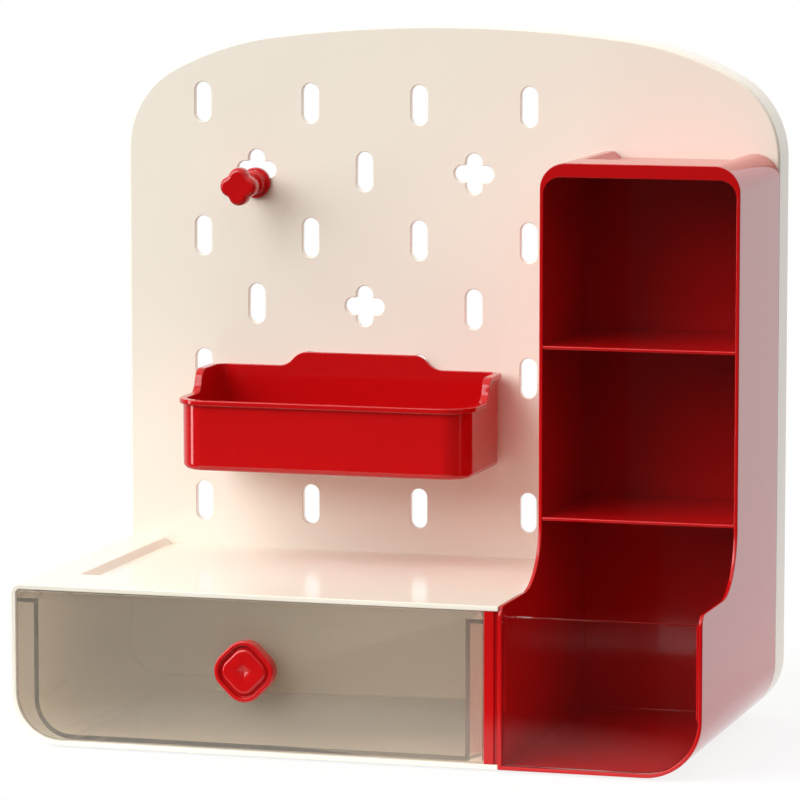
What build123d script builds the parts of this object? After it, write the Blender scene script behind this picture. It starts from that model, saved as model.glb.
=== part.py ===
from build123d import *
import math
import os

# Desk organizer: an arched pegboard stands behind a low drawer housing and a tower of three
# open compartments. A see-through drawer, a hanging tray and a peg can be moved.
#
# The sizes are in millimetres. The model is drawn with X = 0 at the housing's left side,
# Y = 0 on the pegboard's front face (the user stands at -Y) and Z = 0 on the desk. It is
# moved at the end, so that its origin is the middle of its footprint.

# ---- driving dimensions -----------------------------------------------------------------

# Stand
FOOT_STAND = 1.0            # how far the rubber pads lift the shells off the desk
FOOT_RECESS = 0.6           # how deep a pad sits in its seat
FOOT_RADIUS = 5.0
FOOT_INSET = 28.0           # pad centre to the nearest outer sides

# Pegboard
PANEL_LEFT_INSET = 2.5      # the board starts this far in from the housing's left side
PANEL_HEIGHT = 270.0
PANEL_WALL = 3.0
RIM_DEPTH = 17.0            # the board's edge is turned back this far
RIM_WALL = 2.2
RIM_EDGE = 1.2              # rounding of the board's front edge
CROWN_RADIUS = 557.0        # the arch's three radii, from the crown to the upright sides
CROWN_ANGLE = 7.4           # degrees from the middle where the crown ends
SHOULDER_ANGLE = 28.5       # degrees where the shoulder ends
CORNER_RADIUS = 36.3

# Holes of the pegboard
HOLE_PITCH = 45.0
ROW_PITCH = 26.83
HOLE_COLUMNS = 4            # holes in the long rows; the rows between them hold one less
HOLE_ROWS = 7
FIRST_COLUMN = 31.6         # first hole to the board's left edge
TOP_ROW_DROP = 31.55        # top row to the board's crown
SLOT_WIDTH = 6.8
SLOT_LENGTH = 15.9
LOBE_OFFSET = 4.75          # lobe centre to hole centre of a four-lobed hole

# Drawer housing
HOUSING_WIDTH = 192.0
HOUSING_DEPTH = 131.5
HOUSING_HEIGHT = 61.5
HOUSING_WALL = 1.9
BACK_WALL = 2.0
FOOT_CORNER = 20.0          # the large rounding along the bottom sides
TOP_EDGE = 3.5              # the small rounding along the housing's top left side
POCKET_DEPTH = 2.5          # shallow resting pocket in the housing's top
POCKET_MARGIN = 17.0
POCKET_FRONT = 30.0
POCKET_SLOPE = 3.0          # how far the pocket's sides lean
RUNNER_WIDTH = 2.4          # two ribs on the housing's floor carry the drawer
RUNNER_HEIGHT = 0.6
RUNNER_SPACING = 95.5

# Tower
TOWER_WIDTH = 77.5
TOWER_HEIGHT = 221.9
TOWER_DEPTH = 72.2          # depth of the upper compartments
TOWER_WALL = 1.5
TOWER_TOP_WALL = 5.4
TOWER_CORNER = 10.0
TOWER_FOOT_CORNER = 22.0    # the large rounding along the bottom right
TOWER_INNER_CORNER = 6.5
TOWER_MARGIN = 11.5         # raised margin beside the top pocket
TOWER_POCKET_FRONT = 24.0
SHOULDER_HOLLOW = 24.0      # hollow curve from the low front up to the upper compartments
SHOULDER_NOSE = 4.0         # small rounding at the front of the low sides
SHELF_WALL = 1.5
UPPER_SHELF = 152.5         # top faces of the two shelves, over the shells' underside
LOWER_SHELF = 86.9
SHELF_GROOVE = 0.6          # how deep the shelves' edges sit in the side walls
PANE_WALL = 2.0
PANE_HEIGHT = 57.8
PANE_INSET = 0.3
PANE_STOP = 1.2             # section of the ribs behind the pane

# Rail between the drawer and the tower
RAIL_WIDTH = 5.4
RAIL_STEP = 1.6             # width of its set-back edge beside the tower
RAIL_STEP_DEPTH = 1.0
RAIL_INSET = 0.3

# Drawer
FRONT_WALL = 2.0
FRONT_GAP = 0.4             # gap all round the drawer's front
FRONT_TOP_RADIUS = 1.6
FRONT_FOOT_RADIUS = 1.0     # bottom corner beside the rail
TRAY_WALL = 1.8
TRAY_LEFT_GAP = 6.6         # tray's sides to the edges of the drawer's front
TRAY_RIGHT_GAP = 5.2
TRAY_CORNER = 15.0          # rounding along the tray's bottom left
TRAY_HEIGHT = 53.5
TRAY_BACK_GAP = 8.0         # tray to the housing's back wall
FLANGE_HEIGHT = 1.6         # guide flanges along the tray's top
SLIDE_GAP = 0.1             # drawer over its runners
SIDE_GAP = 0.4              # flange to the housing's side and to the rail

# Drawer knob
KNOB_SIDE = 21.1            # side of the knob's rounded square, which stands on its corner
KNOB_ROUND = 7.8
KNOB_REACH = 9.5            # how far the knob stands out from the drawer's front
KNOB_HEAD = 5.5
KNOB_NECK = 7.0
KNOB_HEIGHT = 33.8          # knob centre over the shells' underside
KNOB_RIM = 1.8              # width of the raised rim
KNOB_CHANNEL = 1.6          # width and depth of the channel inside it
KNOB_DIP = 3.9              # half the width of the dip in the middle
KNOB_DIP_DEPTH = 1.4
KNOB_EDGE = 0.8
SCREW_RADIUS = 1.5
KNOB_SCREW_HEAD = 3.2
KNOB_SCREW_HEAD_DEPTH = 1.8
KNOB_SCREW_GRIP = 6.0       # how far the screw reaches into the knob

# Hanging tray
BASKET_OFFSET = 2.9         # the tray sits this far left of the middle of its hooks
BASKET_WIDTH = 118.6
BASKET_DEPTH = 51.0
BASKET_WALL = 1.7
BASKET_HANG = 34.8          # underside below the middle of its hooks' slots
BASKET_FRONT_HEIGHT = 28.0
BASKET_BACK_HEIGHT = 37.1
BASKET_TAB_HEIGHT = 42.75
BASKET_TAB_FLAT = 44.0      # width of the tab's flat top
BASKET_TAB_FOOT = 68.0      # width of the tab where it leaves the back wall
BASKET_FRONT_CORNER = 11.0
BASKET_BACK_CORNER = 6.0
BASKET_FOOT_EDGE = 2.5
RISE_START = 29.0           # the sides start to rise this far from the board
RISE_END = 18.0
LIP_WIDTH = 1.5
LIP_HEIGHT = 2.0
HANG_GAP = 0.2              # clearance of hung pieces to the board's two faces
HOOK_WIDTH = 6.2
HOOK_ARM = 5.0
HOOK_TONGUE = 2.5           # thickness of the tongue behind the board
HOOK_DROP = 5.5             # how far the tongue reaches below the slot's end
HOOK_ROW = 4                # rows and columns are counted from 0 at the top left
HOOK_COLUMNS = (1, 2)

# Peg
PEG_ROW = 1
PEG_COLUMN = 0
PEG_HEAD_MIDDLE = 22.0      # middle of the head to the board's face
PEG_HEAD_DEPTH = 6.6
PEG_LOBE = 4.0              # radius of a lobe of the head
PEG_LOBE_OFFSET = 3.5
PEG_NOTCH = 2.5             # rounding of the notches between the lobes
PEG_HEAD_EDGE = 1.8
PEG_NECK = 3.9
PEG_COLLAR = 6.15
PEG_COLLAR_DEPTH = 2.0
PEG_FLARE = 3.0             # length of the cone between neck and collar
PEG_STEM_GAP = 0.7          # stem's radial gap in a lobe of the hole
PEG_PIN = 1.6               # radius of the retainer's pin in the head
PEG_PIN_DEPTH = 9.0
PEG_BUTTON = 4.4
PEG_BUTTON_DEPTH = 1.8

# Screws from behind
BOSS_RADIUS = 4.0
BOSS_GAP = 0.2              # boss to the board's hole, and boss end to the screw's head
REAR_SCREW_HEAD = 5.5
REAR_SCREW_HEAD_DEPTH = 2.2
SCREW_SKIN = 0.8            # wall left in front of a screw's tip
BOSS_INSET = 20.0           # boss to the nearest outer side
BOSS_LOW = 36.0             # height of the low row, over the shells' underside
BOSS_TOP_DROP = 24.0        # upper row to the tower's top

# ---- places that follow from them -------------------------------------------------------

over = 1.0                                              # how far a cut runs past a face
base = FOOT_STAND
width = HOUSING_WIDTH + TOWER_WIDTH
front = -HOUSING_DEPTH
tower_left = HOUSING_WIDTH
tower_right = width
housing_top = base + HOUSING_HEIGHT
tower_top = base + TOWER_HEIGHT
tower_front = -TOWER_DEPTH
shoulder = housing_top                                  # the low sides meet the housing
panel_left = PANEL_LEFT_INSET
panel_top = base + PANEL_HEIGHT
rail_left = HOUSING_WIDTH - RAIL_WIDTH
rail_bottom = base + HOUSING_WALL
rail_top = housing_top - HOUSING_WALL
pocket_floor = housing_top - POCKET_DEPTH
ceiling = pocket_floor - HOUSING_WALL
front_left = HOUSING_WALL + FRONT_GAP
front_right = rail_left - FRONT_GAP
front_bottom = base + HOUSING_WALL + FRONT_GAP
front_top = housing_top - HOUSING_WALL - FRONT_GAP
tray_left = front_left + TRAY_LEFT_GAP
tray_right = front_right - TRAY_RIGHT_GAP
tray_bottom = base + HOUSING_WALL + RUNNER_HEIGHT + SLIDE_GAP
tray_top = tray_bottom + TRAY_HEIGHT
tray_front = front + FRONT_WALL
tray_back = -BACK_WALL - TRAY_BACK_GAP
knob_x = HOUSING_WIDTH / 2
knob_z = base + KNOB_HEIGHT
basket_middle_x = (panel_left + FIRST_COLUMN
                   + HOLE_PITCH * sum(HOOK_COLUMNS) / len(HOOK_COLUMNS) - BASKET_OFFSET)
basket_back = -HANG_GAP
basket_front = basket_back - BASKET_DEPTH
basket_bottom = panel_top - TOP_ROW_DROP - ROW_PITCH * HOOK_ROW - BASKET_HANG
pane_back = front + PANE_INSET + PANE_WALL


def hole_center(row, column):
    """Middle of a hole of the board, in X and Z. Odd rows sit half a pitch to the right."""
    x = panel_left + FIRST_COLUMN + HOLE_PITCH * (column + 0.5 * (row % 2))
    return x, panel_top - TOP_ROW_DROP - ROW_PITCH * row


def is_lobed(row, column):
    """The four-lobed holes stand at the ends of the second row, the middle of the fourth
    and the ends of the sixth. All the others are upright slots."""
    return (row, column) in ((1, 0), (1, 2), (3, 1), (5, 0), (5, 2))


# ---- small helpers ----------------------------------------------------------------------

def from_front(outline, y_front, y_back):
    """A prism of an outline drawn as seen from the front, between two depths."""
    return extrude(Plane.XZ.offset(-y_back) * outline, y_back - y_front)


def from_side(outline, x_left, x_right):
    """A prism of an outline drawn in Y and Z, between two places across the object."""
    return extrude(Plane.YZ.offset(x_left) * outline, x_right - x_left)


def block(x_span, y_span, z_span):
    """A plain block between two places on each axis."""
    spans = (x_span, y_span, z_span)
    size = [high - low for low, high in spans]
    middle = [(high + low) / 2 for low, high in spans]
    return Pos(*middle) * Box(*size)


def rod(x, z, radius, y_front, y_back):
    """A round bar that runs from front to back."""
    return from_front(Pos(x, z) * Circle(radius), y_front, y_back)


def rounded(x_span, z_span, bottom_left=0.0, bottom_right=0.0, top_right=0.0, top_left=0.0):
    """A rectangle whose corners have their own radii; a radius of 0 leaves it sharp."""
    (x0, x1), (z0, z1) = x_span, z_span
    outline = Pos((x0 + x1) / 2, (z0 + z1) / 2) * Rectangle(x1 - x0, z1 - z0)
    corners = ((x0, z0, bottom_left), (x1, z0, bottom_right), (x1, z1, top_right), (x0, z1, top_left))
    for x, z, radius in corners:
        if radius > 0:
            corner = outline.vertices().sort_by_distance((x, z, 0))[0]
            outline = fillet(corner, radius)
    return outline


def leaning_pocket(x_span, y_span, top, depth, slope):
    """The cut of a shallow pocket whose sides lean outwards towards its top."""
    (x0, x1), (y0, y1) = x_span, y_span
    mouth = Pos((x0 + x1) / 2, (y0 + y1) / 2, top) * Rectangle(x1 - x0, y1 - y0)
    floor_width = x1 - x0 - 2 * slope
    floor_depth = y1 - y0 - 2 * slope
    floor = Pos((x0 + x1) / 2, (y0 + y1) / 2, top - depth) * Rectangle(floor_width, floor_depth)
    return loft([floor, mouth])


def edges_at(part, axis, place):
    """The edges of a part that lie in one plane across an axis."""
    return part.edges().filter_by_position(axis, place - 0.01, place + 0.01)


# ---- pegboard ---------------------------------------------------------------------------

def board_outline():
    """The board seen from the front: an arch of three radii on straight sides."""
    crown, end = math.radians(CROWN_ANGLE), math.radians(SHOULDER_ANGLE)
    half = (width - panel_left) / 2
    shoulder_run = half - CROWN_RADIUS * math.sin(crown) - CORNER_RADIUS * (1 - math.sin(end))
    shoulder_radius = shoulder_run / (math.sin(end) - math.sin(crown))
    drop = (CROWN_RADIUS * (1 - math.cos(crown))
            + shoulder_radius * (math.cos(crown) - math.cos(end))
            + CORNER_RADIUS * math.cos(end))
    spring = panel_top - drop                           # where the arch leaves the left side
    left_foot, right_foot = base + FOOT_CORNER, base + TOWER_FOOT_CORNER
    left = Line((panel_left, left_foot), (panel_left, spring))
    arcs = [(CORNER_RADIUS, 90 - SHOULDER_ANGLE), (shoulder_radius, SHOULDER_ANGLE - CROWN_ANGLE),
            (CROWN_RADIUS, 2 * CROWN_ANGLE),
            (shoulder_radius, SHOULDER_ANGLE - CROWN_ANGLE), (CORNER_RADIUS, 90 - SHOULDER_ANGLE)]
    path = [left]
    for radius, turn in arcs:
        path.append(JernArc(path[-1] @ 1, path[-1] % 1, radius, -turn))
    path.append(Line(path[-1] @ 1, (width, right_foot)))
    path.append(JernArc((width, right_foot), (0, -1), TOWER_FOOT_CORNER, -90))
    path.append(Line(path[-1] @ 1, (panel_left + FOOT_CORNER, base)))
    path.append(JernArc(path[-1] @ 1, (-1, 0), FOOT_CORNER, -90))
    return make_face(path)


def slot_outline():
    return SlotOverall(SLOT_LENGTH, SLOT_WIDTH, rotation=90)


def lobed_outline():
    """Two crossed slots, whose round ends are the four lobes."""
    length = 2 * LOBE_OFFSET + SLOT_WIDTH
    return SlotOverall(length, SLOT_WIDTH) + SlotOverall(length, SLOT_WIDTH, rotation=90)


def boss_places():
    """Where the housing and the tower are screwed to the board: X and Z of each boss."""
    low, high = base + BOSS_LOW, tower_top - BOSS_TOP_DROP
    housing = [(BOSS_INSET, low), (HOUSING_WIDTH - BOSS_INSET, low)]
    sides = (tower_left + BOSS_INSET, tower_right - BOSS_INSET)
    return housing, [(x, z) for x in sides for z in (low, high)]


def pegboard_panel():
    outline = board_outline()
    panel = from_front(outline, 0, RIM_DEPTH)
    panel = fillet(edges_at(panel, Axis.Y, 0), RIM_EDGE)
    panel -= from_front(offset(outline, -RIM_WALL), PANEL_WALL, RIM_DEPTH + over)
    for row in range(HOLE_ROWS):
        for column in range(HOLE_COLUMNS - row % 2):
            outline = lobed_outline() if is_lobed(row, column) else slot_outline()
            x, z = hole_center(row, column)
            panel -= from_front(Pos(x, z) * outline, -over, PANEL_WALL + over)
    for x, z in sum(boss_places(), []):
        panel -= rod(x, z, BOSS_RADIUS + BOSS_GAP, -over, PANEL_WALL + over)
    return panel


def boss(x, z):
    """A screw boss that stands back from a shell's rear face into the board."""
    return rod(x, z, BOSS_RADIUS, -BACK_WALL, PANEL_WALL - BOSS_GAP)


def screw_bore(x, z):
    """The shaft of a rear screw. It stops short of the shell's inner face."""
    return rod(x, z, SCREW_RADIUS, SCREW_SKIN - BACK_WALL, PANEL_WALL)


def rear_screws(places):
    """Screws whose heads bear on the board's rear face."""
    screws = []
    for x, z in places:
        head = rod(x, z, REAR_SCREW_HEAD, PANEL_WALL, PANEL_WALL + REAR_SCREW_HEAD_DEPTH)
        head = fillet(edges_at(head, Axis.Y, PANEL_WALL + REAR_SCREW_HEAD_DEPTH), KNOB_EDGE)
        screws.append(screw_bore(x, z) + head)
    return screws


# ---- drawer housing ---------------------------------------------------------------------

def runner_places():
    middle = (tray_left + tray_right) / 2
    return [middle - RUNNER_SPACING / 2, middle + RUNNER_SPACING / 2]


def drawer_housing():
    """The low shell is open at the front and towards the tower."""
    shell = from_front(rounded((0, HOUSING_WIDTH), (base, housing_top),
                               bottom_left=FOOT_CORNER, top_left=TOP_EDGE), front, 0)
    inside = rounded((HOUSING_WALL, HOUSING_WIDTH + over),
                     (base + HOUSING_WALL, housing_top - HOUSING_WALL),
                     bottom_left=FOOT_CORNER - HOUSING_WALL, top_left=TOP_EDGE - HOUSING_WALL)
    shell -= from_front(inside, front - over, -BACK_WALL)
    # The top drops to a pocket, whose floor keeps the wall's thickness.
    pocket_left, pocket_front = POCKET_MARGIN, front + POCKET_FRONT
    shell += block((pocket_left - HOUSING_WALL, HOUSING_WIDTH),
                   (pocket_front - HOUSING_WALL, -BACK_WALL), (ceiling, housing_top - HOUSING_WALL))
    # The pocket's cut runs on past the tower's side and the board's face.
    past = POCKET_SLOPE + over
    shell -= leaning_pocket((pocket_left, HOUSING_WIDTH + past), (pocket_front, past),
                            housing_top, POCKET_DEPTH, POCKET_SLOPE)
    for x in runner_places():
        shell += block((x - RUNNER_WIDTH / 2, x + RUNNER_WIDTH / 2), (front + FRONT_WALL + over, -BACK_WALL),
                       (base + HOUSING_WALL, base + HOUSING_WALL + RUNNER_HEIGHT))
    places, _ = boss_places()
    for x, z in places:
        shell += boss(x, z)
    for x, z in places:
        shell -= screw_bore(x, z)
    for x, y in foot_places()[0]:
        shell -= foot_seat(x, y)
    return shell


def drawer_rail():
    """The upright rail that closes the bay beside the tower and guides the drawer."""
    rail = block((rail_left, HOUSING_WIDTH), (front + RAIL_INSET, -BACK_WALL), (rail_bottom, rail_top))
    rail -= block((HOUSING_WIDTH - RAIL_STEP, HOUSING_WIDTH + over),
                  (front, front + RAIL_INSET + RAIL_STEP_DEPTH), (base, housing_top))
    pocket_front = front + POCKET_FRONT - HOUSING_WALL
    rail -= block((rail_left - over, HOUSING_WIDTH + over), (pocket_front, 0), (ceiling, housing_top))
    return rail


# ---- tower ------------------------------------------------------------------------------

def shoulder_cut():
    """What is missing from the tower in front of its upper compartments, seen from the side."""
    hollow = SHOULDER_HOLLOW
    ahead, above = front - over, tower_top + over
    flat = Line((front + SHOULDER_NOSE, shoulder), (tower_front - hollow, shoulder))
    curve = JernArc(flat @ 1, (1, 0), hollow, 90)
    rise = Line(curve @ 1, (tower_front, above))
    back = Polyline((tower_front, above), (ahead, above), (ahead, shoulder - SHOULDER_NOSE),
                    (front, shoulder - SHOULDER_NOSE))
    nose = JernArc((front, shoulder - SHOULDER_NOSE), (0, 1), SHOULDER_NOSE, -90)
    return make_face([flat, curve, rise, back, nose])


def tower_shell():
    shell = from_front(rounded((tower_left, tower_right), (base, tower_top),
                               bottom_right=TOWER_FOOT_CORNER, top_right=TOWER_CORNER,
                               top_left=TOWER_CORNER), front, 0)
    shell -= from_side(shoulder_cut(), tower_left - over, tower_right + over)
    inside = rounded((tower_left + TOWER_WALL, tower_right - TOWER_WALL),
                     (base + TOWER_WALL, tower_top - TOWER_TOP_WALL),
                     bottom_right=TOWER_FOOT_CORNER - TOWER_WALL,
                     top_right=TOWER_INNER_CORNER, top_left=TOWER_INNER_CORNER)
    shell -= from_front(inside, front - over, -BACK_WALL)
    past = POCKET_SLOPE + over
    shell -= leaning_pocket((tower_left + TOWER_MARGIN, tower_right - TOWER_MARGIN),
                            (tower_front + TOWER_POCKET_FRONT, past),
                            tower_top, POCKET_DEPTH, POCKET_SLOPE)
    for height in (UPPER_SHELF, LOWER_SHELF):
        shell -= shelf_block(height, 0)
    for side in (tower_left + TOWER_WALL, tower_right - TOWER_WALL - PANE_STOP):
        shell += block((side, side + PANE_STOP), (pane_back, pane_back + PANE_STOP),
                       (base + TOWER_FOOT_CORNER, base + PANE_HEIGHT))
    _, places = boss_places()
    for x, z in places:
        shell += boss(x, z)
    for x, z in places:
        shell -= screw_bore(x, z)
    for x, y in foot_places()[1]:
        shell -= foot_seat(x, y)
    return shell


def shelf_block(height, gap):
    """A shelf, or with no gap the room it takes in the tower, grooves included."""
    reach = TOWER_WALL - SHELF_GROOVE + gap
    top = base + height
    return block((tower_left + reach, tower_right - reach), (tower_front, -BACK_WALL),
                 (top - SHELF_WALL, top - gap))


def front_pane():
    """The clear pane stands on the tower's floor between its low sides."""
    gap = SLIDE_GAP
    outline = rounded((tower_left + TOWER_WALL + gap, tower_right - TOWER_WALL - gap),
                      (base + TOWER_WALL + gap, base + PANE_HEIGHT),
                      bottom_right=TOWER_FOOT_CORNER - TOWER_WALL - gap)
    return from_front(outline, front + PANE_INSET, pane_back)


# ---- feet -------------------------------------------------------------------------------

def foot_places():
    """Two pads under the housing and two under the tower: X and Y of each."""
    ends = (front + FOOT_INSET, -FOOT_INSET)
    return [(FOOT_INSET, y) for y in ends], [(tower_right - FOOT_INSET, y) for y in ends]


def foot_seat(x, y):
    return Pos(x, y, base + FOOT_RECESS / 2) * Cylinder(FOOT_RADIUS, FOOT_RECESS)


def foot_pads(places):
    height = FOOT_STAND + FOOT_RECESS
    pads = []
    for x, y in places:
        pad = Pos(x, y, height / 2) * Cylinder(FOOT_RADIUS, height)
        pads.append(fillet(edges_at(pad, Axis.Z, 0), FOOT_RECESS / 2))
    return pads


# ---- drawer -----------------------------------------------------------------------------

def drawer_front():
    outline = rounded((front_left, front_right), (front_bottom, front_top),
                      bottom_left=FOOT_CORNER - HOUSING_WALL - FRONT_GAP,
                      bottom_right=FRONT_FOOT_RADIUS,
                      top_right=FRONT_TOP_RADIUS, top_left=FRONT_TOP_RADIUS)
    return from_front(outline, front, tray_front) - knob_bore()


def drawer_tray():
    """The tray is closed in front by the drawer's front, which is bonded to it."""
    body = from_front(rounded((tray_left, tray_right), (tray_bottom, tray_top),
                              bottom_left=TRAY_CORNER, bottom_right=FRONT_FOOT_RADIUS),
                      tray_front, tray_back)
    flange_left, flange_right = HOUSING_WALL + SIDE_GAP, rail_left - SIDE_GAP
    for span in ((flange_left, tray_left + TRAY_WALL), (tray_right - TRAY_WALL, flange_right)):
        body += block(span, (tray_front, tray_back), (tray_top - FLANGE_HEIGHT, tray_top))
    cavity = rounded((tray_left + TRAY_WALL, tray_right - TRAY_WALL),
                     (tray_bottom + TRAY_WALL, tray_top + over),
                     bottom_left=TRAY_CORNER - TRAY_WALL)
    return body - from_front(cavity, tray_front - over, tray_back - TRAY_WALL)


# ---- drawer knob ------------------------------------------------------------------------

def diamond(side, radius):
    """A rounded square that stands on its corner, about the knob's middle."""
    return Pos(knob_x, knob_z) * Rot(0, 0, 45) * RectangleRounded(side, side, radius)


def knob_bore():
    return rod(knob_x, knob_z, SCREW_RADIUS, front - KNOB_SCREW_GRIP, tray_front)


def drawer_knob():
    face = front - KNOB_REACH
    head = from_front(diamond(KNOB_SIDE, KNOB_ROUND), face, face + KNOB_HEAD)
    head = fillet(edges_at(head, Axis.Y, face), KNOB_EDGE)
    island_side = KNOB_SIDE - 2 * (KNOB_RIM + KNOB_CHANNEL)
    island_round = KNOB_ROUND - KNOB_RIM - KNOB_CHANNEL
    channel = diamond(KNOB_SIDE - 2 * KNOB_RIM, KNOB_ROUND - KNOB_RIM)
    channel -= diamond(island_side, island_round)
    head -= from_front(channel, face - over, face + KNOB_CHANNEL)
    # A four-sided dip with its sides parallel to the rim.
    mouth = Plane.XZ.offset(-face) * diamond(2 * KNOB_DIP, KNOB_EDGE)
    foot = Plane.XZ.offset(-face - KNOB_DIP_DEPTH) * diamond(KNOB_EDGE, KNOB_EDGE / 4)
    head -= loft([mouth, foot])
    neck = rod(knob_x, knob_z, KNOB_NECK, face + KNOB_HEAD, front)
    return head + neck - knob_bore()


def knob_screw():
    shank = rod(knob_x, knob_z, SCREW_RADIUS, front - KNOB_SCREW_GRIP, tray_front)
    back = tray_front + KNOB_SCREW_HEAD_DEPTH
    head = rod(knob_x, knob_z, KNOB_SCREW_HEAD, tray_front, back)
    return shank + fillet(edges_at(head, Axis.Y, back), KNOB_EDGE)


# ---- hanging tray -----------------------------------------------------------------------

def basket_plan(grow):
    """The tray seen from above, grown or shrunk all round by the same amount."""
    x_span = (basket_middle_x - BASKET_WIDTH / 2 - grow, basket_middle_x + BASKET_WIDTH / 2 + grow)
    y_span = (basket_front - grow, basket_back + grow)
    back = BASKET_BACK_CORNER + grow
    front_corner = BASKET_FRONT_CORNER + grow
    return rounded(x_span, y_span, front_corner, front_corner, back, back)


def basket_side_cut(drop):
    """What lies over the tray's rim, seen from the side. The rim is low at the front and
    rises in a soft double bend to the back; drop lowers it all."""
    low = basket_bottom + BASKET_FRONT_HEIGHT - drop
    high = basket_bottom + BASKET_BACK_HEIGHT - drop
    ahead, inner = basket_front - 2 * LIP_WIDTH, basket_back - BASKET_WALL
    above = basket_bottom + BASKET_TAB_HEIGHT + over
    rise = Spline((-RISE_START, low), (-RISE_END, high), tangents=((1, 0), (1, 0)))
    rest = Polyline((-RISE_END, high), (inner, high), (inner, above), (ahead, above),
                    (ahead, low), (-RISE_START, low))
    return from_side(make_face([rise, rest]), basket_middle_x - BASKET_WIDTH,
                     basket_middle_x + BASKET_WIDTH)


def basket_back_cut():
    """What lies over the back wall, seen from the front: the wall rises to a flat tab."""
    wall, tab = basket_bottom + BASKET_BACK_HEIGHT, basket_bottom + BASKET_TAB_HEIGHT
    middle, far = basket_middle_x + BASKET_OFFSET / 2, BASKET_WIDTH
    foot, flat = BASKET_TAB_FOOT / 2, BASKET_TAB_FLAT / 2
    left = Spline((middle - foot, wall), (middle - flat, tab), tangents=((1, 0), (1, 0)))
    right = Spline((middle + flat, tab), (middle + foot, wall), tangents=((1, 0), (1, 0)))
    above = tab + over
    outline = [left, Line((middle - flat, tab), (middle + flat, tab)), right,
               Polyline((middle + foot, wall), (middle + far, wall), (middle + far, above),
                        (middle - far, above), (middle - far, wall), (middle - foot, wall))]
    return from_front(make_face(outline), basket_back - BASKET_WALL - over, basket_back + over)


def basket_prism(grow, bottom, top):
    return extrude(Pos(0, 0, bottom) * basket_plan(grow), top - bottom)


def basket():
    top = basket_bottom + BASKET_TAB_HEIGHT
    body = basket_prism(0, basket_bottom, top)
    body = fillet(edges_at(body, Axis.Z, basket_bottom), BASKET_FOOT_EDGE)
    body -= basket_prism(-BASKET_WALL, basket_bottom + BASKET_WALL, top + over)
    body -= basket_side_cut(0)
    body -= basket_back_cut()
    # The rim turns outwards to a small lip, which stops short of the board.
    lip = basket_prism(LIP_WIDTH, basket_bottom, top) - basket_prism(-BASKET_WALL / 2, basket_bottom, top)
    lip = (lip & basket_side_cut(LIP_HEIGHT)) - basket_side_cut(0)
    lip -= block((0, width), (basket_back - BASKET_WALL, LIP_WIDTH + over), (0, panel_top))
    body += lip
    for column in HOOK_COLUMNS:
        body += hook(column)
    return body


def hook(column):
    """The arm goes through a slot and rests on its lower end; the tongue drops behind."""
    x, z = hole_center(HOOK_ROW, column)
    rest = z - SLOT_LENGTH / 2 + HANG_GAP
    behind = PANEL_WALL + HANG_GAP
    sides = (x - HOOK_WIDTH / 2, x + HOOK_WIDTH / 2)
    # The arm's underside follows the slot's round lower end.
    arm = from_front(rounded(sides, (rest, rest + HOOK_ARM), HOOK_WIDTH / 2 - HANG_GAP,
                             HOOK_WIDTH / 2 - HANG_GAP), basket_back - BASKET_WALL, behind)
    tongue = block(sides, (behind, behind + HOOK_TONGUE), (rest - HOOK_DROP, rest + HOOK_ARM))
    return arm + tongue


# ---- peg --------------------------------------------------------------------------------

def peg_center():
    """The peg's stem rests on the round end of the lower lobe of its hole."""
    x, z = hole_center(PEG_ROW, PEG_COLUMN)
    return x, z - LOBE_OFFSET - PEG_STEM_GAP + HANG_GAP


def peg_knob():
    x, z = peg_center()
    face = -PEG_HEAD_MIDDLE - PEG_HEAD_DEPTH / 2
    back = face + PEG_HEAD_DEPTH
    outline = Rectangle(PEG_LOBE_OFFSET, PEG_LOBE_OFFSET)
    for dx, dz in ((1, 0), (-1, 0), (0, 1), (0, -1)):
        outline += Pos(dx * PEG_LOBE_OFFSET, dz * PEG_LOBE_OFFSET) * Circle(PEG_LOBE)
    outline = fillet(outline.vertices(), PEG_NOTCH)
    head = from_front(Pos(x, z) * outline, face, back)
    head = fillet(edges_at(head, Axis.Y, face) + edges_at(head, Axis.Y, back), PEG_HEAD_EDGE)
    collar_front = -HANG_GAP - PEG_COLLAR_DEPTH
    neck = rod(x, z, PEG_NECK, back, collar_front)
    small = Plane.XZ.offset(PEG_FLARE - collar_front) * Pos(x, z) * Circle(PEG_NECK)
    large = Plane.XZ.offset(-collar_front) * Pos(x, z) * Circle(PEG_COLLAR - PEG_HEAD_EDGE / 2)
    collar = rod(x, z, PEG_COLLAR, collar_front, -HANG_GAP)
    stem = rod(x, z, SLOT_WIDTH / 2 - PEG_STEM_GAP, -HANG_GAP, PANEL_WALL + HANG_GAP)
    return head + neck + loft([small, large]) + collar + stem - peg_bore()


def peg_bore():
    x, z = peg_center()
    return rod(x, z, PEG_PIN, PANEL_WALL + HANG_GAP - PEG_PIN_DEPTH, PANEL_WALL + HANG_GAP)


def peg_retainer():
    """The button behind the board. It passes the middle of a four-lobed hole, not a lobe."""
    x, z = peg_center()
    start = PANEL_WALL + HANG_GAP
    button = rod(x, z, PEG_BUTTON, start, start + PEG_BUTTON_DEPTH)
    return peg_bore() + fillet(edges_at(button, Axis.Y, start + PEG_BUTTON_DEPTH), KNOB_EDGE)


# ---- assembly ---------------------------------------------------------------------------

housing_bosses, tower_bosses = boss_places()
housing_feet, tower_feet = foot_places()

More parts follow.
